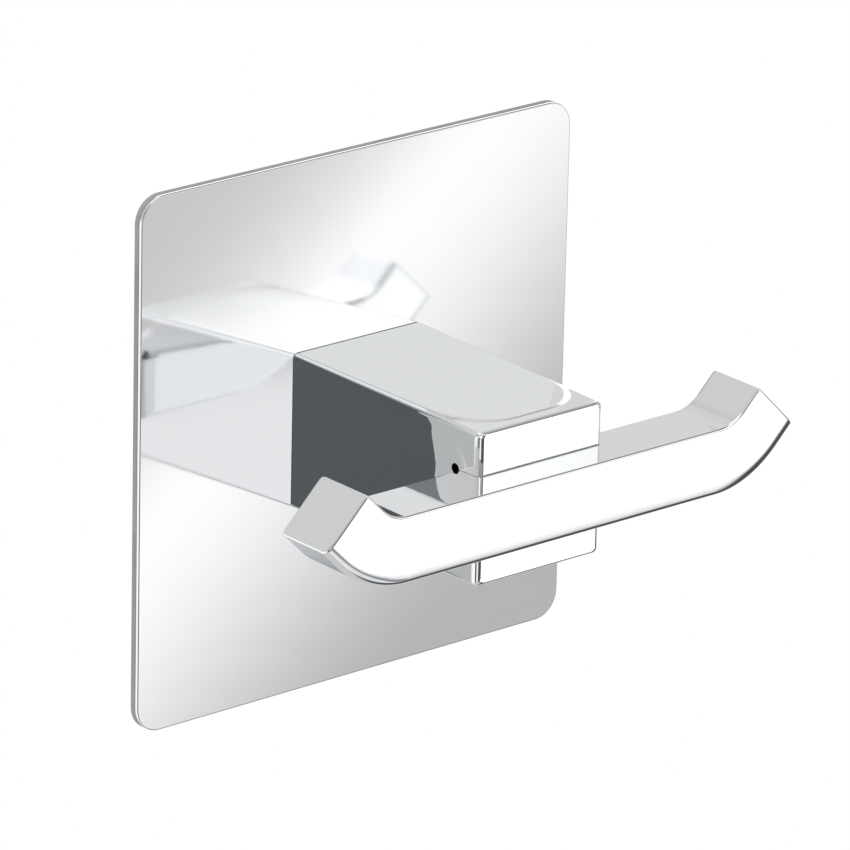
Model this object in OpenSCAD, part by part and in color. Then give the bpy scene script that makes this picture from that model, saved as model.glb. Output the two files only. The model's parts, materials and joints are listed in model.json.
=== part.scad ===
// Square-plate double towel hook, held on the wall by an adhesive pad.
// Frame: X to the right along the wall, -Y out of the wall, +Z up, millimetres.
// The origin is the centre of the pad's wall face. Depths count out of the wall.

/* [Back plate] */
// Width of the plate along the wall
plate_w = 98; // [80:1:140]
// Height of the plate
plate_h = 100; // [80:1:140]
// Thickness of the plate's sheet
plate_t = 0.8; // [0.6:0.1:2]
// Radius of the plate's corners, and of the pad's
plate_corner_r = 5; // [3:0.5:15]

/* [Adhesive pad] */
// Thickness of the foam pad
pad_t = 1.1; // [1:0.1:2]

/* [Post] */
// Side of the square post where it stands on the plate
post_root = 29.2; // [26:0.2:36]
// Side of the square post at its front, a little less for the casting draft
post_head = 28.4; // [24:0.2:34]
// Length of the post from the plate to its front face
post_len = 50.4; // [40:0.2:70]
// Thickness of the post's walls
post_wall = 2.5; // [1.5:0.1:4]
// Depth of the slot that the bar sits in
slot_depth = 5.6; // [4:0.1:8]
// Thickness of the web behind the slot
web_t = 4; // [3:0.1:5]

/* [Bar] */
// Height of the bar's section
bar_h = 12.5; // [10:0.1:16]
// Depth of the bar's section, out of the wall
bar_d = 12.5; // [11:0.1:16]
// Length of the bar's straight middle
bar_straight = 71; // [60:1:100]
// Radius of the bends, along the inner edge
bend_r = 8; // [4:0.5:16]
// Angle that each arm turns up
arm_angle = 45; // [20:1:80]
// Straight length of each arm beyond its bend
arm_len = 5; // [3:0.5:14]
// Radius of the bar's back edges and outer front edge
bar_edge_r = 1; // [0.6:0.1:2]
// Radius of the bar's inner front edge
bar_crisp_r = 0.4; // [0.2:0.1:1]

/* [Plate screws] */
// Diameter of each screw between plate and post
plate_screw_d = 4; // [3:0.5:5]
// Length of each screw under its head
plate_screw_len = 9; // [7:0.5:11]
// Diameter of each screw's flat head
plate_screw_head_d = 8; // [7:0.2:9]
// Thickness of each screw's flat head
plate_screw_head_t = 0.8; // [0.6:0.1:1]
// Diameter of the bosses in the post that take the screws
boss_d = 7.2; // [6.6:0.1:8]
// Length of the bosses
boss_len = 12; // [11.6:0.2:16]
// How far each boss reaches into the side wall
boss_bite = 0.5; // [0.3:0.1:1.2]

/* [Bar screw] */
// Diameter of the screw between post and bar
bar_screw_d = 5; // [4:0.5:6]
// Length of the screw under its head
bar_screw_len = 14; // [11:0.5:15]
// Diameter of the screw's round head
bar_screw_head_d = 9; // [8:0.2:11]
// Thickness of the screw's round head
bar_screw_head_t = 3.2; // [2.5:0.1:4]
// Diameter of the flat washer on the web
washer_d = 10; // [9:0.2:12]
// Thickness of the flat washer
washer_t = 1; // [0.6:0.1:1.4]
// Diameter of the split spring washer
spring_d = 8.8; // [8:0.2:10]
// Thickness of the split spring washer
spring_t = 1.3; // [0.8:0.1:1.8]
// Width of the split in the spring washer
spring_split = 0.8; // [0.4:0.1:1.4]

/* [Clearances] */
// Gap between the bar and each lip of the slot
slot_gap = 0.1; // [0.05:0.05:0.3]
// Gap all round a screw in the hole that it is screwed into
thread_gap = 0.05; // [0.03:0.01:0.1]
// Gap all round a screw or shank in a plain hole
hole_gap = 0.2; // [0.1:0.05:0.3]
// Gap all round a plate screw's head in the pad
pad_gap = 0.6; // [0.3:0.1:1]
// Room left beyond the tip of a screw
tip_gap = 1; // [0.5:0.1:2]

/* [Hidden] */

$fn = 96;

// How far a cut runs past the face that it opens
overrun = 1;

// Depths out of the wall, from the back of the pad to the front of the bar
plate_front = pad_t + plate_t;
head_front = plate_front + post_len;
slot_floor = head_front - slot_depth;
web_back = slot_floor - web_t;
bar_front = slot_floor + bar_d;
spring_back = web_back - washer_t - spring_t;

// Sideways place of each plate screw: its boss stands against the post's side wall
screw_x = post_root / 2 - post_wall + boss_bite - boss_d / 2;

// Height of the bends' centres above the bar's middle
bend_z = bar_h / 2 + bend_r;

// How far each arm starts inside its bend, and how far it is drawn in all round from the bend
arm_overlap = 0.2;
arm_step = 0.03;

// Length of the bar screw that is in the bar
bar_grip = bar_screw_len - washer_t - spring_t - web_t;

// Shares of a screw head's size that its cross recess takes
recess_length_share = 0.55;
recess_width_share = 0.14;
recess_depth_share = 0.6;

PLATE = "#c6c9cc";
CAST = "#d3d5d7";
FOAM = "#8f9193";
STEEL = "#9ea3a8";
SPRING = "#6f7478";

// A round bar along the depth, from one depth to another
module rod(d, from, to) {
    translate([0, -from, 0])
        rotate([90, 0, 0])
            cylinder(d = d, h = to - from);
}

// A flat ring along the depth
module ring(outer_d, inner_d, from, to) {
    difference() {
        rod(outer_d, from, to);
        rod(inner_d, from - overrun, to + overrun);
    }
}

// The places of the two plate screws
module at_plate_screws() {
    for (side = [-1, 1])
        translate([side * screw_x, 0, 0])
            children();
}

// The part of a square corner that lies outside its round
module corner_waste(r) {
    difference() {
        square(r + overrun);
        circle(r);
    }
}

// A rectangle standing on the origin's corner, with a radius of its own at each corner.
// near is the side at x = 0 and far the side at x = w; low is y = 0 and high is y = h.
module rounded_rectangle(w, h, near_low, near_high, far_low, far_high) {
    difference() {
        square([w, h]);
        translate([near_low, near_low])
            rotate(180)
                corner_waste(near_low);
        translate([near_high, h - near_high])
            rotate(90)
                corner_waste(near_high);
        translate([w - far_low, far_low])
            rotate(-90)
                corner_waste(far_low);
        translate([w - far_high, h - far_high])
            corner_waste(far_high);
    }
}

// A sheet with the plate's outline, from one depth to another
module sheet(from, to) {
    r = plate_corner_r;
    translate([-plate_w / 2, -from, -plate_h / 2])
        rotate([90, 0, 0])
            linear_extrude(to - from)
                rounded_rectangle(plate_w, plate_h, r, r, r, r);
}

// A square spike that narrows evenly with depth, from the post's root on
module drafted_square(root, head, length) {
    module side_view() {
        polygon([[-root / 2, 0], [root / 2, 0], [head / 2, -length], [-head / 2, -length]]);
    }
    translate([0, -plate_front, 0])
        intersection() {
            linear_extrude(root, center = true)
                side_view();
            rotate([0, 90, 0])
                linear_extrude(root, center = true)
                    side_view();
        }
}

// The post before it is hollowed and slotted
module post_block() {
    drafted_square(post_root, post_head, post_len);
}

// The hollow inside the post, open towards the plate
module post_hollow() {
    intersection() {
        drafted_square(post_root - 2 * post_wall, post_head - 2 * post_wall, post_len);
        translate([0, -web_back / 2, 0])
            cube([post_root, web_back, post_root], center = true);
    }
}

// The slot across the post's front
module bar_slot() {
    slot_h = bar_h + 2 * slot_gap;
    translate([-post_root, -head_front - overrun, -slot_h / 2])
        cube([2 * post_root, slot_depth + overrun, slot_h]);
}

// The bar's section, drawn in all round by the inset given:
// x runs from the inner side of the bends to the outer side, y out of the wall
module bar_section(inset) {
    edge_r = bar_edge_r - inset;
    crisp_r = bar_crisp_r - inset;
    translate([bend_r + inset, inset])
        rounded_rectangle(bar_h - 2 * inset, bar_d - 2 * inset, edge_r, crisp_r, edge_r, edge_r);
}

// A straight run of the bar along y, from one place to another, seen from its bend's centre
module bar_run(from, to, inset) {
    translate([0, to, 0])
        rotate([90, 0, 0])
            linear_extrude(to - from)
                bar_section(inset);
}

// One end of the bar, about its bend's centre: the bend and the arm beyond it
module bar_end() {
    translate([bar_straight / 2, -slot_floor, bend_z])
        rotate([90, 0, 0])
            rotate(-90) {
                rotate_extrude(angle = arm_angle)
                    bar_section(0);
                rotate(arm_angle)
                    bar_run(-arm_overlap, arm_len, arm_step);
            }
}

// The straight middle of the bar
module bar_middle() {
    translate([-bar_straight / 2, -slot_floor, bend_z])
        rotate([90, 0, 0])
            rotate(-90)
                bar_run(0, bar_straight, 0);
}

// The cross recess in a screw's head, open towards the wall at the depth given
module cross_recess(head_d, head_t, from) {
    length = head_d * recess_length_share;
    width = head_d * recess_width_share;
    depth = head_t * recess_depth_share;
    for (turn = [0, 90])
        translate([0, -from - (depth - overrun) / 2, 0])
            rotate([0, turn, 0])
                cube([length, depth + overrun, width], center = true);
}

// A screw along the depth: its head lies on the wall's side of the depth given
module screw(d, length, head_d, head_t, seat) {
    difference() {
        union() {
            rod(head_d, seat - head_t, seat);
            rod(d, seat, seat + length);
        }
        cross_recess(head_d, head_t, seat - head_t);
    }
}

// Closed-cell foam with adhesive on both faces, punched where the screw heads lie
module adhesive_pad() {
    color(FOAM)
        difference() {
            sheet(0, pad_t);
            at_plate_screws()
                rod(plate_screw_head_d + 2 * pad_gap, -overrun, pad_t + overrun);
        }
}

// Polished steel sheet
module back_plate() {
    color(PLATE)
        difference() {
            sheet(pad_t, plate_front);
            at_plate_screws()
                rod(plate_screw_d + 2 * hole_gap, pad_t - overrun, plate_front + overrun);
        }
}

// Hollow casting with the slot for the bar, a web behind it and two screw bosses
module post() {
    color(CAST)
        difference() {
            union() {
                difference() {
                    post_block();
                    post_hollow();
                }
                intersection() {
                    post_block();
                    at_plate_screws()
                        rod(boss_d, plate_front, plate_front + boss_len);
                }
            }
            bar_slot();
            at_plate_screws()
                rod(plate_screw_d + 2 * thread_gap, plate_front - overrun,
                    pad_t + plate_screw_len + tip_gap);
            rod(bar_screw_d + 2 * hole_gap, web_back - overrun, slot_floor + overrun);
        }
}

// Square bar with both ends bent up, and the hole for its screw in the back
module hook_bar() {
    color(CAST)
        difference() {
            union() {
                bar_middle();
                bar_end();
                mirror([1, 0, 0])
                    bar_end();
            }
            rod(bar_screw_d + 2 * thread_gap, slot_floor - overrun, slot_floor + bar_grip + tip_gap);
        }
}

// One of the two screws between plate and post
module plate_screw(side) {
    color(STEEL)
        translate([side * screw_x, 0, 0])
            screw(plate_screw_d, plate_screw_len, plate_screw_head_d, plate_screw_head_t, pad_t);
}

// The screw that pulls the bar into its slot
module bar_screw() {
    color(STEEL)
        screw(bar_screw_d, bar_screw_len, bar_screw_head_d, bar_screw_head_t, spring_back);
}

// The flat washer on the web
module flat_washer() {
    color(STEEL)
        ring(washer_d, bar_screw_d + 2 * hole_gap, web_back - washer_t, web_back);
}

// The split washer under the bar screw's head
module spring_washer() {
    color(SPRING)
        difference() {
            ring(spring_d, bar_screw_d + 2 * hole_gap, spring_back, spring_back + spring_t);
            translate([-spring_split / 2, -spring_back - spring_t - overrun, 0])
                cube([spring_split, spring_t + 2 * overrun, spring_d]);
        }
}

adhesive_pad();
back_plate();
post();
hook_bar();
plate_screw(-1);  // plate_screw_left
plate_screw(1);  // plate_screw_right
bar_screw();
flat_washer();
spring_washer();
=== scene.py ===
import json
import math

import bmesh
import bpy
from mathutils import Matrix, Vector


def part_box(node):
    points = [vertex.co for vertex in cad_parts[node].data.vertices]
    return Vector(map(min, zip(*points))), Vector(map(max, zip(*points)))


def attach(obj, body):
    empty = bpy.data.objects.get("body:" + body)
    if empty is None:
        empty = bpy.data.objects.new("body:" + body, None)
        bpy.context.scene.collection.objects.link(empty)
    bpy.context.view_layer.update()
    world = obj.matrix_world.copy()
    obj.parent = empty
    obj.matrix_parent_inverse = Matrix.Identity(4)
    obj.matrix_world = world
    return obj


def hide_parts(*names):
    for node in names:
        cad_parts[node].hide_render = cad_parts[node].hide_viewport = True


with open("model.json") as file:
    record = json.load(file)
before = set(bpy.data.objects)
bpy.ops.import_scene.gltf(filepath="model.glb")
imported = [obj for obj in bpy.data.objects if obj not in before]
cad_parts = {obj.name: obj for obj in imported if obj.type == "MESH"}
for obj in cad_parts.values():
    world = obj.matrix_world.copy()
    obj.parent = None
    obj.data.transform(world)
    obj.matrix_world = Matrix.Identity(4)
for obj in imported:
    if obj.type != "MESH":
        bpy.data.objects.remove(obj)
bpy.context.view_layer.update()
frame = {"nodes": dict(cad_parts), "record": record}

MM = 0.001
QUARTER_TURN = math.radians(90)
TONES = {m["slot"]: m["base_color"] for m in frame["record"]["materials"]}

# Places on the CAD nodes, read from the frame. Y runs into the wall, so a front has a lower Y than its back
plate_low, plate_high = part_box("back_plate")
post_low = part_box("post")[0]
bar_low, bar_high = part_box("hook_bar")
washer_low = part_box("flat_washer")[0]
screw_low, screw_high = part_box("plate_screw_right")
PLATE_FRONT = plate_low.y
PLATE_BACK = plate_high.y
HEAD_FRONT = post_low.y
BAR_FRONT = bar_low.y
BAR_BACK = bar_high.y
BAR_HALF = -bar_low.z
WEB_BACK = washer_low.y
PLATE_SCREW_X = (screw_low.x + screw_high.x) / 2


# Mesh helpers

# How near points are to be merged, and how near a point has to be to lie on a face
WELD = 0.0005 * MM
EDGE_FIND = 0.01 * MM
# How far a cutting tool runs past the face that it opens
OVERRUN = 1 * MM
ROD_SEGMENTS = 48
ROUND_PROFILE = 0.5
# Half the width of a unit square, which is then scaled to size
UNIT_HALF = 0.5


def finish_piece(name, bm, slot, *replaced):
    """Turns a bmesh into a piece of the object, in place of the CAD nodes named."""
    bmesh.ops.remove_doubles(bm, verts=bm.verts, dist=WELD)
    bmesh.ops.recalc_face_normals(bm, faces=bm.faces)
    piece = loose_object(name, bm)
    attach(piece, "root")
    if replaced:
        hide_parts(*replaced)
    return piece


def loose_object(name, bm):
    """Makes an object from a bmesh, at the origin and with smooth faces."""
    mesh = bpy.data.meshes.new(name)
    for face in bm.faces:
        face.smooth = True
    bm.to_mesh(mesh)
    bm.free()
    piece = bpy.data.objects.new(name, mesh)
    bpy.context.scene.collection.objects.link(piece)
    return piece


def settle(piece):
    """Applies a piece's modifiers to its mesh."""
    bpy.context.view_layer.update()
    graph = bpy.context.evaluated_depsgraph_get()
    settled = bpy.data.meshes.new_from_object(piece.evaluated_get(graph))
    piece.modifiers.clear()
    piece.data = settled


def cut(piece, tool):
    """Cuts a tool's shape out of a piece and throws the tool away."""
    boolean = piece.modifiers.new("cut", "BOOLEAN")
    boolean.object = tool
    boolean.operation = "DIFFERENCE"
    boolean.solver = "EXACT"
    settle(piece)
    bpy.data.objects.remove(tool)


def quarter_turn(bm, axis):
    """Turns all of a bmesh by 90 degrees about an axis through the origin."""
    bmesh.ops.rotate(bm, cent=(0, 0, 0), matrix=Matrix.Rotation(QUARTER_TURN, 3, axis), verts=bm.verts)


def upright_sheet(width, height, middle):
    """A flat sheet parallel to the wall."""
    bm = bmesh.new()
    bmesh.ops.create_grid(bm, x_segments=1, y_segments=1, size=UNIT_HALF)
    quarter_turn(bm, "X")
    bmesh.ops.scale(bm, vec=(width, 1, height), verts=bm.verts)
    bmesh.ops.translate(bm, vec=middle, verts=bm.verts)
    return bm


def box_tool(low, high):
    """A plain box between two corners, for cutting."""
    bm = bmesh.new()
    bmesh.ops.create_cube(bm, size=1)
    size = Vector(high) - Vector(low)
    middle = (Vector(high) + Vector(low)) / 2
    bmesh.ops.scale(bm, vec=size, verts=bm.verts)
    bmesh.ops.translate(bm, vec=middle, verts=bm.verts)
    return loose_object("box_tool", bm)


def rod_tool(radius, x, depth_from, depth_to):
    """A round rod along the depth, between two depths out of the wall."""
    bm = bmesh.new()
    bmesh.ops.create_cone(bm, cap_ends=True, segments=ROD_SEGMENTS, radius1=radius, radius2=radius,
                          depth=depth_to - depth_from)
    quarter_turn(bm, "X")
    bmesh.ops.translate(bm, vec=(x, -(depth_from + depth_to) / 2, 0), verts=bm.verts)
    return loose_object("rod_tool", bm)


def round_corner(bm, corner, radius, steps):
    """Rounds one corner of a flat outline."""
    bmesh.ops.bevel(bm, geom=[corner], offset=radius, segments=steps, profile=ROUND_PROFILE, material=-1,
                    affect="VERTICES", offset_type="OFFSET")


def push_on(bm, faces, shift):
    """Extrudes the end faces by a shift and returns the new ends."""
    made = bmesh.ops.extrude_face_region(bm, geom=faces)
    moved = [v for v in made["geom"] if isinstance(v, bmesh.types.BMVert)]
    bmesh.ops.translate(bm, vec=shift, verts=moved)
    return [f for f in made["geom"] if isinstance(f, bmesh.types.BMFace)]


def nearest(bm, place):
    """The vertex nearest to a place."""
    return min(bm.verts, key=lambda v: (v.co - Vector(place)).length)


def parts_of(faces, kind):
    """The edges or verts of some faces, each one once and in a steady order."""
    return list(dict.fromkeys(part for face in faces for part in getattr(face, kind)))


def smooth_step(value):
    """0 below 0, 1 above 1 and a smooth path between."""
    value = min(1.0, max(0.0, value))
    return value * value * (3 - 2 * value)


def crisp_edges(piece, degrees):
    """Keeps the edges crisp that turn more sharply than this."""
    for face in piece.data.polygons:
        face.use_smooth = True
    piece.data.set_sharp_from_angle(angle=math.radians(degrees))


def even_normals(piece):
    """Lets the large flat faces set the normals, so that reflections stay calm."""
    even = piece.modifiers.new("even", "WEIGHTED_NORMAL")
    even.mode = "FACE_AREA"
    even.keep_sharp = True


def finish_faces(piece, degrees, material):
    """Settles which edges of a cut piece are crisp, and gives it one material all over."""
    crisp_edges(piece, degrees)
    even_normals(piece)
    piece.data.materials.clear()
    piece.data.materials.append(material)


# The bar

BAR_STRAIGHT_HALF = 35.5 * MM
BEND_RADIUS = 8 * MM
BEND_STEPS = 40
ARM_ANGLE = math.radians(45)
ARM_LENGTH = 5 * MM
BEND_HEIGHT = BAR_HALF + BEND_RADIUS
# The radius of each rounded edge, and the steps that it is drawn in
BACK_EDGE = 1.0 * MM
BACK_STEPS = 7
FRONT_LOWER_EDGE = 0.9 * MM
FRONT_LOWER_STEPS = 12
FRONT_UPPER_EDGE = 0.42 * MM
FRONT_UPPER_STEPS = 5
END_EDGE = 0.8 * MM
END_STEPS = 4
# The soft roll of the front towards its lower edge, and the roll of the arm towards its outer edge
FRONT_CUTS = 23
ROLL_REACH = 2 * FRONT_LOWER_EDGE
ROLL_WIDTH = 7 * MM
ROLL_DROP = 0.20 * MM
ROLL_POWER = 2.6
ARM_ROLL_WIDTH = 1.9 * MM
ARM_ROLL_DROP = 0.55 * MM
ARM_ROLL_POWER = 2
MIRROR_WELD = 0.001 * MM


def bar_section(bm):
    """The bar's section at its middle: square, with its front rolled softly towards the lower edge."""
    bmesh.ops.create_grid(bm, x_segments=1, y_segments=1, size=BAR_HALF)
    quarter_turn(bm, "Y")
    bmesh.ops.translate(bm, vec=(0, (BAR_FRONT + BAR_BACK) / 2, 0), verts=bm.verts)
    for depth, height, radius, steps in (
            (BAR_FRONT, BAR_HALF, FRONT_UPPER_EDGE, FRONT_UPPER_STEPS),
            (BAR_BACK, BAR_HALF, BACK_EDGE, BACK_STEPS),
            (BAR_BACK, -BAR_HALF, BACK_EDGE, BACK_STEPS),
            (BAR_FRONT, -BAR_HALF, FRONT_LOWER_EDGE, FRONT_LOWER_STEPS)):
        round_corner(bm, nearest(bm, (0, depth, height)), radius, steps)
    front = [e for e in bm.edges if all(v.co.y < BAR_FRONT + EDGE_FIND for v in e.verts)]
    bmesh.ops.bisect_edges(bm, edges=[max(front, key=lambda e: e.calc_length())], cuts=FRONT_CUTS)
    for vert in bm.verts:
        if vert.co.y < BAR_FRONT + ROLL_REACH:
            into = max(0.0, (ROLL_WIDTH - (vert.co.z + BAR_HALF)) / ROLL_WIDTH)
            vert.co.y += ROLL_DROP * into ** ROLL_POWER
    return bm.faces[:]


def roll_arm_edge(bm):
    """Rolls the front further over towards the arm's outer edge, more and more round the bend."""
    for vert in bm.verts:
        out, up = vert.co.x - BAR_STRAIGHT_HALF, vert.co.z - BEND_HEIGHT
        if out <= 0 or vert.co.y >= BAR_FRONT + ROLL_REACH:
            continue
        turn = math.atan2(out, -up)
        if turn < ARM_ANGLE:
            reach = math.hypot(out, up)
        else:
            reach = out * math.sin(ARM_ANGLE) - up * math.cos(ARM_ANGLE)
        edge = BEND_HEIGHT + BAR_HALF - reach
        into = max(0.0, 1 - edge / ARM_ROLL_WIDTH)
        vert.co.y += ARM_ROLL_DROP * smooth_step(turn / ARM_ANGLE) * into ** ARM_ROLL_POWER


def hook_bar():
    """Square bar with both ends bent up, one half made and mirrored."""
    bm = bmesh.new()
    end = bar_section(bm)
    end = push_on(bm, end, (BAR_STRAIGHT_HALF, 0, 0))
    region = end + parts_of(end, "edges") + parts_of(end, "verts")
    made = bmesh.ops.spin(bm, geom=region, cent=(BAR_STRAIGHT_HALF, 0, BEND_HEIGHT), axis=(0, -1, 0),
                          angle=ARM_ANGLE, steps=BEND_STEPS)
    end = [f for f in made["geom_last"] if isinstance(f, bmesh.types.BMFace)]
    arm_way = Vector((math.cos(ARM_ANGLE), 0, math.sin(ARM_ANGLE)))
    end = push_on(bm, end, arm_way * ARM_LENGTH)
    bmesh.ops.bevel(bm, geom=parts_of(end, "edges"), offset=END_EDGE, segments=END_STEPS,
                    profile=ROUND_PROFILE, material=-1, affect="EDGES", offset_type="OFFSET",
                    clamp_overlap=True)
    roll_arm_edge(bm)
    middle = [f for f in bm.faces if all(abs(v.co.x) < EDGE_FIND for v in f.verts)]
    bmesh.ops.delete(bm, geom=middle, context="FACES_ONLY")
    bmesh.ops.mirror(bm, geom=bm.verts[:] + bm.edges[:] + bm.faces[:], merge_dist=MIRROR_WELD, axis="X")
    piece = finish_piece("hook_bar_chrome", bm, "chrome_casting", "hook_bar")
    even_normals(piece)
    piece.data.materials.append(chrome_casting())
    return piece


# The post

# Edges that turn by more degrees than this stay crisp
POST_CRISP = 15
ROOT_HALF = 14.6 * MM
HEAD_HALF = 14.2 * MM
POST_LENGTH = PLATE_FRONT - HEAD_FRONT
POST_WALL = 2.5 * MM
POST_LONG_EDGE = 0.9 * MM
POST_LONG_STEPS = 8
FLANK_CUTS = 39
ROOT_EDGE = 0.25 * MM
SLOT_GAP = 0.04 * MM
SLOT_HALF = BAR_HALF + SLOT_GAP
SLOT_FLOOR = BAR_BACK
SLOT_LIP_EDGE = 0.3 * MM
SLOT_LIP_STEPS = 5
# The slot's outline opens this far ahead of the post's front
SLOT_MOUTH_GAP = 0.0025 * MM
# The groove along the slot's upper rear corner: radius, distance behind the slot's floor, length
SLOT_RELIEF = 0.95 * MM
SLOT_RELIEF_BACK = 0.45 * MM
SLOT_RELIEF_LENGTH = 4 * MM
SLOT_RELIEF_SEGMENTS = 24
BOSS_RADIUS = 3.6 * MM
BOSS_LENGTH = 12 * MM
BOSS_HOLE_RADIUS = 2.05 * MM
BOSS_HOLE_END = 11.1 * MM
BAR_HOLE_RADIUS = 2.7 * MM
# The rounded edge of the post's front: its radius at the sides, above and below
FRONT_SIDE_ROUND = 1.35 * MM
FRONT_UPPER_ROUND = 0.42 * MM
FRONT_LOWER_ROUND = 0.9 * MM
ROUND_STEPS = 8
# Each side of the post swells a little inside a rim. Distances run back from the front or in from the edge
SWELL_FRONT = 2.7 * MM
SWELL_SIDE = 0.8 * MM
SWELL_CORNER = 9.5 * MM
SWELL_STEP_TOP = 0.13 * MM
SWELL_STEP_SIDE = 0.03 * MM
SWELL_STEP_WIDTH = 0.8 * MM
SWELL_CROWN = 0.17 * MM
SWELL_CROWN_WIDTH = 7 * MM
SWELL_REACH = 42 * MM
# The post's rings of points: the gap of the fine ones near the front, the count of rings after which the
# gap grows, the factor that it grows by and its limit, and how near the plate these rings may come
RING_FINE = 0.11 * MM
RING_FINE_COUNT = 12
RING_GROWTH = 1.16
RING_WIDEST = 2 * MM
RING_ROOT_GAP = 1.5 * MM


def swell(across, back, step_height):
    """How far a place on the post's side stands out from the drafted outline."""
    beside = across - (HEAD_HALF - SWELL_SIDE - SWELL_CORNER)
    before = SWELL_FRONT + SWELL_CORNER - back
    if beside > 0 and before > 0:
        inside_rim = SWELL_CORNER - math.hypot(beside, before)
    else:
        inside_rim = SWELL_CORNER - max(beside, before)
    step = step_height * smooth_step(inside_rim / SWELL_STEP_WIDTH + 0.5)
    crown = SWELL_CROWN * (1 - (1 - min(1.0, max(0.0, inside_rim / SWELL_CROWN_WIDTH))) ** 2)
    return (step + crown) * smooth_step((POST_LENGTH - back) / SWELL_REACH)


def ring_distances():
    """Where the post's rings lie, as distances back from its front, with the one at the plate first."""
    distances = [FRONT_SIDE_ROUND, SWELL_FRONT - SWELL_STEP_WIDTH / 2 - RING_FINE]
    gap = RING_FINE
    while distances[-1] + gap < POST_LENGTH - RING_ROOT_GAP:
        distances.append(distances[-1] + gap)
        if len(distances) > RING_FINE_COUNT:
            gap = min(gap * RING_GROWTH, RING_WIDEST)
    return [POST_LENGTH - ROOT_EDGE] + distances[::-1]


def shape_sides(bm):
    """Gives the straight post its draft, its swelled sides and the broken edge at the plate."""
    for vert in bm.verts:
        back = vert.co.y - HEAD_FRONT
        x, z = abs(vert.co.x), abs(vert.co.z)
        draft = (ROOT_HALF - HEAD_HALF) * back / POST_LENGTH
        on_side = x > HEAD_HALF - POST_LONG_EDGE - EDGE_FIND
        on_level = z > HEAD_HALF - POST_LONG_EDGE - EDGE_FIND
        if on_side:
            vert.co.x += math.copysign(draft + swell(z, back, SWELL_STEP_SIDE), vert.co.x)
        if on_level:
            vert.co.z += math.copysign(draft + swell(x, back, SWELL_STEP_TOP), vert.co.z)
    root = [v for v in bm.verts if v.co.y > PLATE_FRONT - EDGE_FIND]
    bmesh.ops.scale(bm, vec=(1 - ROOT_EDGE / ROOT_HALF, 1, 1 - ROOT_EDGE / ROOT_HALF), verts=root)


def rounded(half, radius, turn):
    """The half width left after some turn of a round of that radius."""
    return half - radius * (1 - math.cos(turn))


def round_front(bm, end):
    """Rounds the edges of the post's front, each side with its own radius."""
    half = max(v.co.x for f in end for v in f.verts)
    ahead, inward = 0.0, 0.0
    for step in range(1, ROUND_STEPS + 1):
        turn = QUARTER_TURN * step / ROUND_STEPS
        end = push_on(bm, end, (0, -FRONT_SIDE_ROUND * (math.sin(turn) - ahead), 0))
        ahead = math.sin(turn)
        for vert in parts_of(end, "verts"):
            level = FRONT_UPPER_ROUND if vert.co.z > 0 else FRONT_LOWER_ROUND
            vert.co.x *= rounded(half, FRONT_SIDE_ROUND, turn) / rounded(half, FRONT_SIDE_ROUND, inward)
            vert.co.z *= rounded(half, level, turn) / rounded(half, level, inward)
        inward = turn


def post_shell():
    """The post's outside, drawn on from the plate ring by ring."""
    bm = bmesh.new()
    bmesh.ops.create_grid(bm, x_segments=1, y_segments=1, size=HEAD_HALF)
    quarter_turn(bm, "X")
    bmesh.ops.translate(bm, vec=(0, PLATE_FRONT, 0), verts=bm.verts)
    for corner in bm.verts[:]:
        round_corner(bm, corner, POST_LONG_EDGE, POST_LONG_STEPS)
    flanks = [e for e in bm.edges if e.calc_length() > HEAD_HALF]
    bmesh.ops.bisect_edges(bm, edges=flanks, cuts=FLANK_CUTS)
    end = bm.faces[:]
    at = PLATE_FRONT
    for back in ring_distances():
        end = push_on(bm, end, (0, HEAD_FRONT + back - at, 0))
        at = HEAD_FRONT + back
    shape_sides(bm)
    round_front(bm, end)
    return bm


def post_hollow():
    """The hollow inside the post, with its two screw bosses left standing."""
    hollow = box_tool((-ROOT_HALF, WEB_BACK, -ROOT_HALF), (ROOT_HALF, PLATE_FRONT + OVERRUN, ROOT_HALF))
    for vert in hollow.data.vertices:
        far = vert.co.y < PLATE_FRONT
        half = (HEAD_HALF if far else ROOT_HALF) - POST_WALL
        vert.co.x = math.copysign(half, vert.co.x)
        vert.co.z = math.copysign(half, vert.co.z)
    for side in (-1, 1):
        cut(hollow, rod_tool(BOSS_RADIUS, side * PLATE_SCREW_X, -PLATE_FRONT - 2 * OVERRUN,
                             -PLATE_FRONT + BOSS_LENGTH))
    return hollow


def slot_tool():
    """The slot's shape, an extruded outline: a bar through the post that flares round both lips."""
    bm = bmesh.new()
    mouth = HEAD_FRONT - SLOT_MOUTH_GAP
    outline = [bm.verts.new((-2 * ROOT_HALF, y, z)) for y, z in (
        (mouth - OVERRUN, -2 * SLOT_HALF),
        (mouth, -2 * SLOT_HALF),
        (mouth, -SLOT_HALF),
        (SLOT_FLOOR, -SLOT_HALF),
        (SLOT_FLOOR, SLOT_HALF),
        (mouth, SLOT_HALF),
        (mouth, 2 * SLOT_HALF),
        (mouth - OVERRUN, 2 * SLOT_HALF))]
    bm.faces.new(outline)
    for lip in (outline[2], outline[5]):
        round_corner(bm, lip, SLOT_LIP_EDGE, SLOT_LIP_STEPS)
    push_on(bm, bm.faces[:], (4 * ROOT_HALF, 0, 0))
    bmesh.ops.recalc_face_normals(bm, faces=bm.faces)
    return loose_object("slot_tool", bm)


def relief_tool(side):
    """A short round groove from one side along the slot's upper rear corner."""
    bm = bmesh.new()
    bmesh.ops.create_cone(bm, cap_ends=True, segments=SLOT_RELIEF_SEGMENTS, radius1=SLOT_RELIEF,
                          radius2=SLOT_RELIEF, depth=2 * SLOT_RELIEF_LENGTH)
    quarter_turn(bm, "Y")
    bmesh.ops.translate(bm, vec=(side * HEAD_HALF, SLOT_FLOOR + SLOT_RELIEF_BACK, SLOT_HALF), verts=bm.verts)
    return loose_object("relief_tool", bm)


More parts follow.
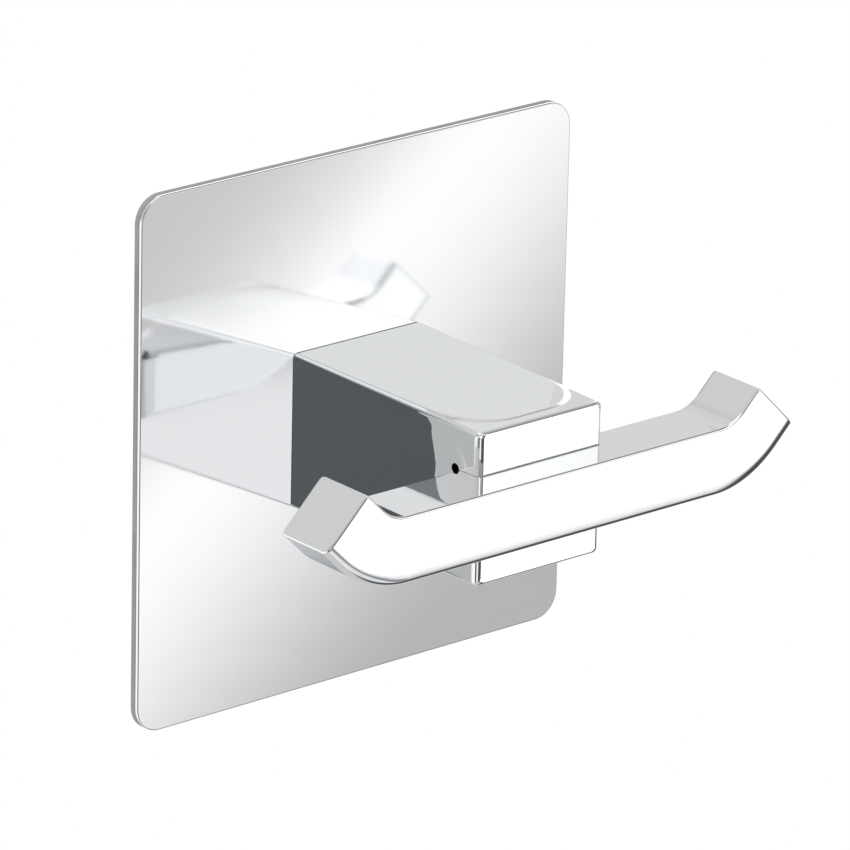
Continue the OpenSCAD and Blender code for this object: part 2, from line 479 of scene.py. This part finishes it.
def post():
    """Hollow casting with drafted sides, the slot for the bar, a web and two screw bosses."""
    piece = finish_piece("post_casting", post_shell(), "chrome_casting", "post")
    cut(piece, post_hollow())
    cut(piece, slot_tool())
    for side in (-1, 1):
        cut(piece, relief_tool(side))
        cut(piece, rod_tool(BOSS_HOLE_RADIUS, side * PLATE_SCREW_X, -PLATE_FRONT - OVERRUN, BOSS_HOLE_END))
    cut(piece, rod_tool(BAR_HOLE_RADIUS, 0, -WEB_BACK - OVERRUN, -SLOT_FLOOR + OVERRUN))
    finish_faces(piece, POST_CRISP, chrome_casting())
    return piece


# The plate

PLATE_CRISP = 38
PLATE_CORNER = 5 * MM
PLATE_CORNER_STEPS = 20
PLATE_RIM = 0.24 * MM
PLATE_RIM_STEPS = 3
PLATE_RIM_ANGLE = math.radians(60)
PLATE_HOLE_RADIUS = 2.2 * MM


def back_plate():
    """Polished sheet with round corners and a fine broken edge."""
    size = plate_high - plate_low
    bm = upright_sheet(size.x, size.z, (0, PLATE_BACK, 0))
    for corner in bm.verts[:]:
        round_corner(bm, corner, PLATE_CORNER, PLATE_CORNER_STEPS)
    push_on(bm, bm.faces[:], (0, PLATE_FRONT - PLATE_BACK, 0))
    bmesh.ops.recalc_face_normals(bm, faces=bm.faces)
    rim = [e for e in bm.edges if e.is_manifold and e.calc_face_angle() > PLATE_RIM_ANGLE]
    bmesh.ops.bevel(bm, geom=rim, offset=PLATE_RIM, segments=PLATE_RIM_STEPS, profile=ROUND_PROFILE,
                    material=-1, affect="EDGES")
    piece = finish_piece("back_plate_sheet", bm, "plate_steel", "back_plate")
    for side in (-1, 1):
        cut(piece, rod_tool(PLATE_HOLE_RADIUS, side * PLATE_SCREW_X, -PLATE_BACK - OVERRUN,
                            -PLATE_FRONT + OVERRUN))
    finish_faces(piece, PLATE_CRISP, plate_steel())
    return piece


# Node helpers

def new_material(name):
    """A material with only a Principled shader and its output."""
    material = bpy.data.materials.new(name)
    material.use_nodes = True
    return material, material.node_tree.nodes, material.node_tree.links


def number(nodes, links, operation, *values):
    """A math node on up to three values, each a socket or a number."""
    node = nodes.new("ShaderNodeMath")
    node.operation = operation
    for socket, value in zip(node.inputs, values):
        if isinstance(value, bpy.types.NodeSocket):
            links.new(value, socket)
        else:
            socket.default_value = value
    return node.outputs["Value"]


def fade(nodes, links, value, low, high, smooth=True):
    """Goes from 0 at low to 1 at high."""
    node = nodes.new("ShaderNodeMapRange")
    node.interpolation_type = "SMOOTHSTEP" if smooth else "LINEAR"
    node.inputs["From Min"].default_value = low
    node.inputs["From Max"].default_value = high
    links.new(value, node.inputs["Value"])
    return node.outputs["Result"]


def along(nodes, links, place, direction, middle=(0, 0, 0)):
    """How far a place lies along a direction from a middle."""
    node = nodes.new("ShaderNodeVectorMath")
    node.operation = "DOT_PRODUCT"
    links.new(place, node.inputs[0])
    node.inputs[1].default_value = direction
    return number(nodes, links, "SUBTRACT", node.outputs["Value"], Vector(direction).dot(Vector(middle)))


# Materials

CHROME_TONE = (0.93, 0.935, 0.94)
STEEL_TONE = (0.88, 0.885, 0.895)
# The pattern of smudges, and the part of its range that is spread over the roughness
SMUDGE_DETAIL = 5
SMUDGE_ROUGHNESS = 0.62
SMUDGE_FROM = 0.38
SMUDGE_TO = 0.72
PEEL_DETAIL = 2
# The sheet seems to stand out by (PLATE_LEAN + PLATE_BOW * z) * z, with z up the sheet in metres
PLATE_LEAN = 0.045
PLATE_BOW = 0.10
# The foam's tones, each with the place in the pattern at which it is reached
FOAM_DARK = (0.3, (0.36, 0.37, 0.38, 1))
FOAM_LIGHT = (0.7, (0.46, 0.47, 0.48, 1))
FOAM_ROUGHNESS = 0.85
FOAM_CELL_SCALE = 2600
FOAM_CELL_DEPTH = 0.05 * MM
FOAM_CELL_STRENGTH = 0.5
FOAM_CLOUD_SCALE = 90
FOAM_CLOUD_DETAIL = 6


def surface_noise():
    """Group: smudges for the roughness, and the faint unevenness of a polished surface as a height."""
    group = bpy.data.node_groups.get("surface_noise")
    if group:
        return group
    group = bpy.data.node_groups.new("surface_noise", "ShaderNodeTree")
    for label in ("Smudge Scale", "Smudge Low", "Smudge High", "Peel Scale"):
        group.interface.new_socket(name=label, in_out="INPUT", socket_type="NodeSocketFloat")
    for label in ("Roughness", "Height"):
        group.interface.new_socket(name=label, in_out="OUTPUT", socket_type="NodeSocketFloat")
    nodes, links = group.nodes, group.links
    take = nodes.new("NodeGroupInput")
    give = nodes.new("NodeGroupOutput")
    place = nodes.new("ShaderNodeTexCoord")
    smudge = nodes.new("ShaderNodeTexNoise")
    smudge.inputs["Detail"].default_value = SMUDGE_DETAIL
    smudge.inputs["Roughness"].default_value = SMUDGE_ROUGHNESS
    spread = nodes.new("ShaderNodeMapRange")
    spread.inputs["From Min"].default_value = SMUDGE_FROM
    spread.inputs["From Max"].default_value = SMUDGE_TO
    peel = nodes.new("ShaderNodeTexNoise")
    peel.inputs["Detail"].default_value = PEEL_DETAIL
    links.new(place.outputs["Object"], smudge.inputs["Vector"])
    links.new(place.outputs["Object"], peel.inputs["Vector"])
    links.new(take.outputs["Smudge Scale"], smudge.inputs["Scale"])
    links.new(take.outputs["Peel Scale"], peel.inputs["Scale"])
    links.new(smudge.outputs["Fac"], spread.inputs["Value"])
    links.new(take.outputs["Smudge Low"], spread.inputs["To Min"])
    links.new(take.outputs["Smudge High"], spread.inputs["To Max"])
    links.new(spread.outputs["Result"], give.inputs["Roughness"])
    links.new(peel.outputs["Fac"], give.inputs["Height"])
    return group


def polished_metal(name, tone, *, roughness, smudge_scale, peel_scale, peel_depth):
    """A metal finish with smudges, which spread its roughness from low to high, and a faint unevenness."""
    found = bpy.data.materials.get(name)
    if found:
        return found
    material, nodes, links = new_material(name)
    shader = nodes["Principled BSDF"]
    shader.inputs["Base Color"].default_value = (*tone, 1)
    shader.inputs["Metallic"].default_value = 1
    noise = nodes.new("ShaderNodeGroup")
    noise.node_tree = surface_noise()
    noise.inputs["Smudge Scale"].default_value = smudge_scale
    noise.inputs["Smudge Low"].default_value = roughness[0]
    noise.inputs["Smudge High"].default_value = roughness[1]
    noise.inputs["Peel Scale"].default_value = peel_scale
    peel = nodes.new("ShaderNodeBump")
    peel.name = "peel"
    peel.inputs["Strength"].default_value = 1
    peel.inputs["Distance"].default_value = peel_depth
    links.new(noise.outputs["Roughness"], shader.inputs["Roughness"])
    links.new(noise.outputs["Height"], peel.inputs["Height"])
    links.new(peel.outputs["Normal"], shader.inputs["Normal"])
    return material


def chrome_casting():
    """Bright chrome over a polished casting."""
    return polished_metal("bright_chrome", CHROME_TONE, roughness=(0.015, 0.035), smudge_scale=60,
                          peel_scale=160, peel_depth=0.012 * MM)


def plate_steel():
    """Mirror-polished steel sheet, leaning and bowed very slightly, which only its reflections show."""
    material = polished_metal("mirror_steel", STEEL_TONE, roughness=(0.055, 0.085), smudge_scale=25,
                              peel_scale=60, peel_depth=0.004 * MM)
    nodes, links = material.node_tree.nodes, material.node_tree.links
    place = nodes.new("ShaderNodeTexCoord")
    split = nodes.new("ShaderNodeSeparateXYZ")
    links.new(place.outputs["Object"], split.inputs["Vector"])
    height = split.outputs["Z"]
    slope = number(nodes, links, "MULTIPLY_ADD", height, PLATE_BOW, PLATE_LEAN)
    lean = nodes.new("ShaderNodeBump")
    lean.invert = True
    lean.inputs["Strength"].default_value = 1
    lean.inputs["Distance"].default_value = 1
    links.new(number(nodes, links, "MULTIPLY", slope, height), lean.inputs["Height"])
    links.new(lean.outputs["Normal"], nodes["peel"].inputs["Normal"])
    return material


def zinc_screw():
    """Bright zinc plate on a turned screw."""
    return polished_metal("bright_zinc", TONES["zinc_screw"], roughness=(0.22, 0.42), smudge_scale=300,
                          peel_scale=900, peel_depth=0.02 * MM)


def spring_steel():
    """Dark phosphated spring steel."""
    return polished_metal("dark_spring_steel", TONES["spring_steel"], roughness=(0.4, 0.6),
                          smudge_scale=400, peel_scale=1200, peel_depth=0.03 * MM)


def foam_pad():
    """Matt closed-cell foam."""
    material, nodes, links = new_material("closed_cell_foam")
    shader = nodes["Principled BSDF"]
    shader.inputs["Roughness"].default_value = FOAM_ROUGHNESS
    place = nodes.new("ShaderNodeTexCoord")
    cells = nodes.new("ShaderNodeTexVoronoi")
    cells.inputs["Scale"].default_value = FOAM_CELL_SCALE
    cloud = nodes.new("ShaderNodeTexNoise")
    cloud.inputs["Scale"].default_value = FOAM_CLOUD_SCALE
    cloud.inputs["Detail"].default_value = FOAM_CLOUD_DETAIL
    ramp = nodes.new("ShaderNodeValToRGB")
    for element, (at, tone) in zip(ramp.color_ramp.elements, (FOAM_DARK, FOAM_LIGHT)):
        element.position = at
        element.color = tone
    bump = nodes.new("ShaderNodeBump")
    bump.inputs["Strength"].default_value = FOAM_CELL_STRENGTH
    bump.inputs["Distance"].default_value = FOAM_CELL_DEPTH
    links.new(place.outputs["Object"], cells.inputs["Vector"])
    links.new(place.outputs["Object"], cloud.inputs["Vector"])
    links.new(cloud.outputs["Fac"], ramp.inputs["Fac"])
    links.new(ramp.outputs["Color"], shader.inputs["Base Color"])
    links.new(cells.outputs["Distance"], bump.inputs["Height"])
    links.new(bump.outputs["Normal"], shader.inputs["Normal"])
    return material


def dress(node, material):
    """Gives a CAD node its finish."""
    mesh = frame["nodes"][node].data
    mesh.materials.clear()
    mesh.materials.append(material)


# Studio: a floor, a plain world, a tent of soft panels and cards. Tent and cards show in reflections alone

FLOOR_HEIGHT = -1.6
FLOOR_SIZE = 14
FLOOR_TONE = (0.85, 0.85, 0.85, 1)
FLOOR_ROUGHNESS = 0.9
WORLD_LEVEL = 0.75
TENT_RADIUS = 1.1
TENT_SEGMENTS = 64
TENT_RINGS = 32
TENT_TONE = 0.60
# The tint of the tent's dark and light parts, each with the tone at which it is reached
TINT_DARK = (0.1, (0.93, 0.985, 1.05, 1))
TINT_LIGHT = (0.6, (0.99, 1, 1, 1))
# Panels of the tent: where each one stands as seen from the hook, the angles from there in degrees at
# which it starts to fade and is gone, and its tone. A later panel covers an earlier one
TENT_PANELS = (
    ((0.05, 0.25, 0.97), 22, 32, 1.10),
    ((0.03, 0.70, 0.71), 8, 14, 0.60),
    ((0.353, 0.69, 0.632), 7, 12, 0.66),
    ((0.607, 0.715, 0.346), 14, 22, 0.70),
    ((-0.607, 0.715, -0.346), 20, 40, 0.48),
    ((-0.938, 0.00, -0.346), 26, 40, 1.05),
    ((-0.346, 0.715, 0.607), 12, 30, 0.65),
    ((-0.346, -0.715, 0.607), 14, 22, 0.30),
    ((0.60, 0.00, 0.75), 20, 29, 0.35),
    ((-0.72, 0.00, 0.69), 16, 24, 0.35),
    ((-0.55, -0.20, 0.81), 5, 9, 1.00),
    ((0.74, 0.66, 0.13), 3, 6, 1.25),
    ((0.745, 0.62, 0.24), 3, 6, 1.25),
    ((0.735, 0.565, 0.37), 3, 6, 1.30),
    ((0.715, 0.51, 0.48), 3, 6, 1.25),
    ((0.607, -0.345, 0.715), 8, 14, 0.15),
    ((0.607, -0.715, 0.346), 12, 20, 0.86),
    ((0.65, 0.72, -0.25), 14, 24, 1.25),
    ((0.60, -0.35, -0.72), 20, 34, 0.08),
    ((0.35, -0.73, -0.56), 8, 13, 0.27),
    ((0.95, -0.05, -0.30), 16, 26, 0.10),
    ((0.00, -0.94, -0.35), 16, 22, 0.08),
    ((0.15, -0.98, 0.05), 9, 16, 0.15),
    ((-0.07, -0.94, 0.33), 8, 14, 0.20),
    ((0.69, -0.72, 0.00), 4, 9, 0.12),
    ((-0.607, -0.715, 0.346), 12, 20, 0.24),
    ((-0.607, -0.715, -0.346), 17, 27, 0.11),
    ((0.63, -0.73, -0.26), 10, 15, 0.52),
    ((-0.73, -0.68, 0.10), 8, 14, 0.10),
)
# Where a mix node keeps its sockets for plain numbers
MIX_FACTOR = 0
MIX_FROM = 2
MIX_TO = 3
MIX_RESULT = 0


def glossy_only(thing):
    """Shows a part of the studio in reflections alone."""
    thing.visible_camera = False
    thing.visible_diffuse = False
    thing.visible_shadow = False
    thing.visible_transmission = False
    thing.visible_volume_scatter = False


def light_only(card, pieces):
    """Lets a card shine on some of the pieces alone."""
    receivers = bpy.data.collections.new(card.name + "_receivers")
    for piece in pieces:
        receivers.objects.link(piece)
    card.light_linking.receiver_collection = receivers


def studio_tent():
    """A closed tent of soft panels round the hook, from which the chrome takes its tones."""
    bm = bmesh.new()
    bmesh.ops.create_uvsphere(bm, u_segments=TENT_SEGMENTS, v_segments=TENT_RINGS, radius=TENT_RADIUS)
    bmesh.ops.reverse_faces(bm, faces=bm.faces)
    tent = loose_object("studio_tent", bm)
    material, nodes, links = new_material("studio_tent")
    nodes.remove(nodes["Principled BSDF"])
    place = nodes.new("ShaderNodeTexCoord").outputs["Object"]
    tone = None
    for towards, fading, gone, level in TENT_PANELS:
        facing = along(nodes, links, place, Vector(towards).normalized() / TENT_RADIUS)
        mask = fade(nodes, links, facing, math.cos(math.radians(gone)), math.cos(math.radians(fading)))
        mix = nodes.new("ShaderNodeMix")
        mix.inputs[MIX_FROM].default_value = TENT_TONE
        mix.inputs[MIX_TO].default_value = level
        links.new(mask, mix.inputs[MIX_FACTOR])
        if tone:
            links.new(tone, mix.inputs[MIX_FROM])
        tone = mix.outputs[MIX_RESULT]
    tint = nodes.new("ShaderNodeValToRGB")
    for element, (at, colour) in zip(tint.color_ramp.elements, (TINT_DARK, TINT_LIGHT)):
        element.position = at
        element.color = colour
    links.new(tone, tint.inputs["Fac"])
    glow = nodes.new("ShaderNodeEmission")
    links.new(tint.outputs["Color"], glow.inputs["Color"])
    links.new(tone, glow.inputs["Strength"])
    links.new(glow.outputs["Emission"], nodes["Material Output"].inputs["Surface"])
    tent.data.materials.append(material)
    glossy_only(tent)


def studio_card(name, low, high, depth):
    """A see-through card parallel to the wall, which adds its own light. Gives it and its glow's parts."""
    middle = ((low[0] + high[0]) / 2, -depth, (low[1] + high[1]) / 2)
    card = loose_object(name, upright_sheet(high[0] - low[0], high[1] - low[1], middle))
    material, nodes, links = new_material(name)
    nodes.remove(nodes["Principled BSDF"])
    glow = nodes.new("ShaderNodeEmission")
    clear = nodes.new("ShaderNodeBsdfTransparent")
    both = nodes.new("ShaderNodeAddShader")
    links.new(clear.outputs["BSDF"], both.inputs[0])
    links.new(glow.outputs["Emission"], both.inputs[1])
    links.new(both.outputs["Shader"], nodes["Material Output"].inputs["Surface"])
    place = nodes.new("ShaderNodeTexCoord").outputs["Object"]
    card.data.materials.append(material)
    glossy_only(card)
    return card, nodes, links, place, glow.inputs["Strength"]


def inside(nodes, links, place, low, high, soft):
    """1 well inside a card's edges, fading to 0 at them."""
    left = fade(nodes, links, along(nodes, links, place, (1, 0, 0)), low[0], low[0] + soft)
    right = fade(nodes, links, along(nodes, links, place, (1, 0, 0)), high[0], high[0] - soft)
    bottom = fade(nodes, links, along(nodes, links, place, (0, 0, 1)), low[1], low[1] + soft)
    top = fade(nodes, links, along(nodes, links, place, (0, 0, 1)), high[1], high[1] - soft)
    across = number(nodes, links, "MULTIPLY", left, right)
    upright = number(nodes, links, "MULTIPLY", bottom, top)
    return number(nodes, links, "MULTIPLY", across, upright)


# Cards: corners are given along the wall and up, and depths out of the wall, in metres. Cards in one plane
# hide each other where they overlap, so cards that overlap have depths of their own. Only the plate's band
# and the post's share a plane and an edge strip, and the picture was tuned with that.

# The band is a slanting window of light: BAND_ACROSS points across it, BAND_MIDDLE lies on its line.
# Across it, the light rises from BAND_REST of its level at -BAND_LEFT_FADE to all of it at -BAND_FLAT,
# and falls from the line to nothing at BAND_RIGHT_FADE
BAND_DEPTH = 0.452
BAND_CARD = ((0.10, -0.42), (0.62, 0.06))
BAND_ACROSS = Vector((0.433, 0, -0.471))
BAND_MIDDLE = Vector((0.4038, 0, -0.0817))
BAND_SOFT = 0.05
BAND_LEVEL = 0.62
BAND_REST = 0.2
BAND_LEFT_FADE = 0.042
BAND_LEFT_POWER = 2
BAND_FLAT = 0.003
BAND_RIGHT_FADE = 0.070
POST_BAND_LEVEL = 0.38
# The height about which the post's band is the plate's band turned upside down
POST_BAND_MIRROR = (ROOT_HALF + HEAD_HALF) / 2


def slanting_band(name, level, rest, piece, mirror=None):
    """The soft slanting window of light that the plate shows, or the same one turned upside down."""
    low, high = BAND_CARD
    across_way, middle = BAND_ACROSS.copy(), BAND_MIDDLE.copy()
    if mirror:
        low, high = (low[0], 2 * mirror - high[1]), (high[0], 2 * mirror - low[1])
        across_way.z = -across_way.z
        middle.z = 2 * mirror - middle.z
    card, nodes, links, place, strength = studio_card(name, low, high, BAND_DEPTH)
    across = along(nodes, links, place, across_way, middle)
    left = fade(nodes, links, across, -BAND_LEFT_FADE, -BAND_FLAT, smooth=False)
    left = number(nodes, links, "POWER", left, BAND_LEFT_POWER)
    left = number(nodes, links, "MULTIPLY_ADD", left, 1 - rest, rest)
    right = fade(nodes, links, across, BAND_RIGHT_FADE, 0)
    band = number(nodes, links, "MULTIPLY", left, right)
    edge = inside(nodes, links, place, low, high, BAND_SOFT)
    band = number(nodes, links, "MULTIPLY", band, edge)
    links.new(number(nodes, links, "MULTIPLY", band, level), strength)
    light_only(card, [piece])


FRONT_DEPTH = 0.51
FRONT_BOX = ((0.20, -0.35), (0.60, -0.13))
FRONT_SOFT = 0.03
FRONT_LOW_FADE = 0.12


def front_softbox(*pieces):
    """The white softbox that the fronts of the bar and the head show, fading at its lower end."""
    low, high = FRONT_BOX
    card, nodes, links, place, strength = studio_card("front_softbox", low, high, FRONT_DEPTH)
    edge = inside(nodes, links, place, low, high, FRONT_SOFT)
    lower = fade(nodes, links, along(nodes, links, place, (0, 0, 1)), low[1], low[1] + FRONT_LOW_FADE)
    links.new(number(nodes, links, "MULTIPLY", edge, lower), strength)
    light_only(card, pieces)


# Plain soft fills: name, depth, low and high corner, soft edge, level, and the pieces that each one lights
SOFT_FILLS = (
    ("side_fill", 0.60, (-0.82, -0.55), (-0.20, 0.72), 0.08, 0.85, ("post",)),
    ("top_fill", 0.50, (0.20, 0.08), (0.65, 0.45), 0.08, 0.45, ("bar",)),
    ("high_fill", 0.52, (-0.235, 0.30), (0.32, 0.95), 0.04, 0.85, ("bar",)),
    ("corner_fill", 0.53, (-0.235, 0.30), (0.32, 0.95), 0.04, 0.40, ("post",)),
    ("far_top_fill", 0.54, (-0.48, 0.03), (-0.23, 0.25), 0.05, 0.52, ("bar",)),
    ("rim_arc_fill", -0.25, (0.30, 0.02), (0.46, 0.245), 0.02, 0.60, ("post",)),
    ("edge_fill", 0.45, (-0.39, 0.34), (-0.205, 0.52), 0.02, 0.50, ("plate",)),
    ("crown_fill", 0.46, (-0.30, 0.48), (0.10, 0.80), 0.03, 0.50, ("plate",)),
    ("arm_back_fill", 0.47, (-0.08, 0.18), (0.14, 0.36), 0.04, 0.45, ("plate",)),
    ("strip_fill", 0.61, (-0.49, -0.205), (-0.38, -0.10), 0.015, 0.85, ("plate",)),
    ("low_fill", 0.45, (-0.02, -0.60), (0.40, -0.30), 0.04, 0.50, ("bar",)),
    ("back_fill", -0.25, (-0.60, -0.75), (-0.09, 0.10), 0.05, 0.55, ("bar", "plate")),
    ("rim_fill", -0.52, (0.10, 0.00), (0.80, 0.60), 0.10, 0.60, ("plate",)),
)
# A fill's dimmer part: low and high corner, soft edge, and the share of the light that is missing there
DIM_PARTS = {"side_fill": ((-0.49, -0.205), (-0.38, -0.10), 0.015, 0.36)}


def soft_fill(name, depth, low, high, soft, level, pieces):
    """A plain soft light for some of the pieces alone, which may have a dimmer part in it."""
    card, nodes, links, place, strength = studio_card(name, low, high, depth)
    glow = inside(nodes, links, place, low, high, soft)
    if name in DIM_PARTS:
        dim_low, dim_high, dim_soft, share = DIM_PARTS[name]
        dim = inside(nodes, links, place, dim_low, dim_high, dim_soft)
        dim = number(nodes, links, "MULTIPLY", dim, share)
        glow = number(nodes, links, "MULTIPLY", glow, number(nodes, links, "SUBTRACT", 1, dim))
    links.new(number(nodes, links, "MULTIPLY", glow, level), strength)
    light_only(card, pieces)


def studio_floor():
    """A plain pale floor, far below the hook, which the camera sees as white."""
    bm = bmesh.new()
    bmesh.ops.create_grid(bm, x_segments=1, y_segments=1, size=FLOOR_SIZE / 2)
    bmesh.ops.translate(bm, vec=(0, 0, FLOOR_HEIGHT), verts=bm.verts)
    floor = loose_object("studio_floor", bm)
    material, nodes, links = new_material("studio_floor")
    plain = nodes["Principled BSDF"]
    plain.inputs["Base Color"].default_value = FLOOR_TONE
    plain.inputs["Roughness"].default_value = FLOOR_ROUGHNESS
    white = nodes.new("ShaderNodeEmission")
    mix = nodes.new("ShaderNodeMixShader")
    path = nodes.new("ShaderNodeLightPath")
    links.new(path.outputs["Is Camera Ray"], mix.inputs["Fac"])
    links.new(plain.outputs["BSDF"], mix.inputs[1])
    links.new(white.outputs["Emission"], mix.inputs[2])
    links.new(mix.outputs["Shader"], nodes["Material Output"].inputs["Surface"])
    floor.data.materials.append(material)


def studio_world():
    """White to the camera and in reflections, and a plain level of light on the object."""
    world = bpy.data.worlds.new("studio_world")
    bpy.context.scene.world = world
    world.use_nodes = True
    nodes, links = world.node_tree.nodes, world.node_tree.links
    back = nodes["Background"]
    back.inputs["Color"].default_value = (1, 1, 1, 1)
    path = nodes.new("ShaderNodeLightPath")
    seen = number(nodes, links, "MAXIMUM", path.outputs["Is Camera Ray"], path.outputs["Is Glossy Ray"])
    seen = number(nodes, links, "MAXIMUM", seen, path.outputs["Is Transmission Ray"])
    level = nodes.new("ShaderNodeMapRange")
    level.inputs["To Min"].default_value = WORLD_LEVEL
    level.inputs["To Max"].default_value = 1
    links.new(seen, level.inputs["Value"])
    links.new(level.outputs["Result"], back.inputs["Strength"])


# Camera

CAMERA_AZIMUTH = math.radians(-40.335)
CAMERA_ELEVATION = math.radians(20.232)
CAMERA_ROLL = math.radians(1.301)
CAMERA_DISTANCE = 1362.05 * MM
CAMERA_TARGET = Vector((16.184 * MM, PLATE_FRONT, -5.601 * MM))
CAMERA_NEAR = 0.05
CAMERA_FAR = 30
FOCAL_PIXELS = 7559.9
PICTURE_PIXELS = 850
SENSOR_WIDTH = 36


def camera():
    """The photograph's viewpoint."""
    data = bpy.data.cameras.new("camera")
    data.sensor_fit = "AUTO"
    data.sensor_width = SENSOR_WIDTH
    data.lens = FOCAL_PIXELS / PICTURE_PIXELS * SENSOR_WIDTH
    data.clip_start = CAMERA_NEAR
    data.clip_end = CAMERA_FAR
    eye = bpy.data.objects.new("camera", data)
    bpy.context.scene.collection.objects.link(eye)
    azimuth, elevation = CAMERA_AZIMUTH, CAMERA_ELEVATION
    back = Vector((math.sin(azimuth) * math.cos(elevation), -math.cos(azimuth) * math.cos(elevation),
                   math.sin(elevation)))
    right = Vector((math.cos(azimuth), math.sin(azimuth), 0))
    up = back.cross(right)
    rolled_right = right * math.cos(CAMERA_ROLL) + up * math.sin(CAMERA_ROLL)
    rolled_up = up * math.cos(CAMERA_ROLL) - right * math.sin(CAMERA_ROLL)
    turn = Matrix((rolled_right, rolled_up, back)).transposed()
    eye.matrix_world = Matrix.Translation(CAMERA_TARGET + back * CAMERA_DISTANCE) @ turn.to_4x4()
    bpy.context.scene.camera = eye


bpy.context.scene.view_settings.view_transform = "Standard"
camera()
studio_world()
studio_floor()
studio_tent()
made = {"bar": hook_bar(), "post": post(), "plate": back_plate()}
slanting_band("plate_band", BAND_LEVEL, BAND_REST, made["plate"])
slanting_band("post_band", POST_BAND_LEVEL, 0, made["post"], POST_BAND_MIRROR)
front_softbox(made["bar"], made["post"])
for *fill, lit in SOFT_FILLS:
    soft_fill(*fill, [made[piece] for piece in lit])
dress("adhesive_pad", foam_pad())
for name in ("plate_screw_left", "plate_screw_right", "bar_screw", "flat_washer"):
    dress(name, zinc_screw())
dress("spring_washer", spring_steel())
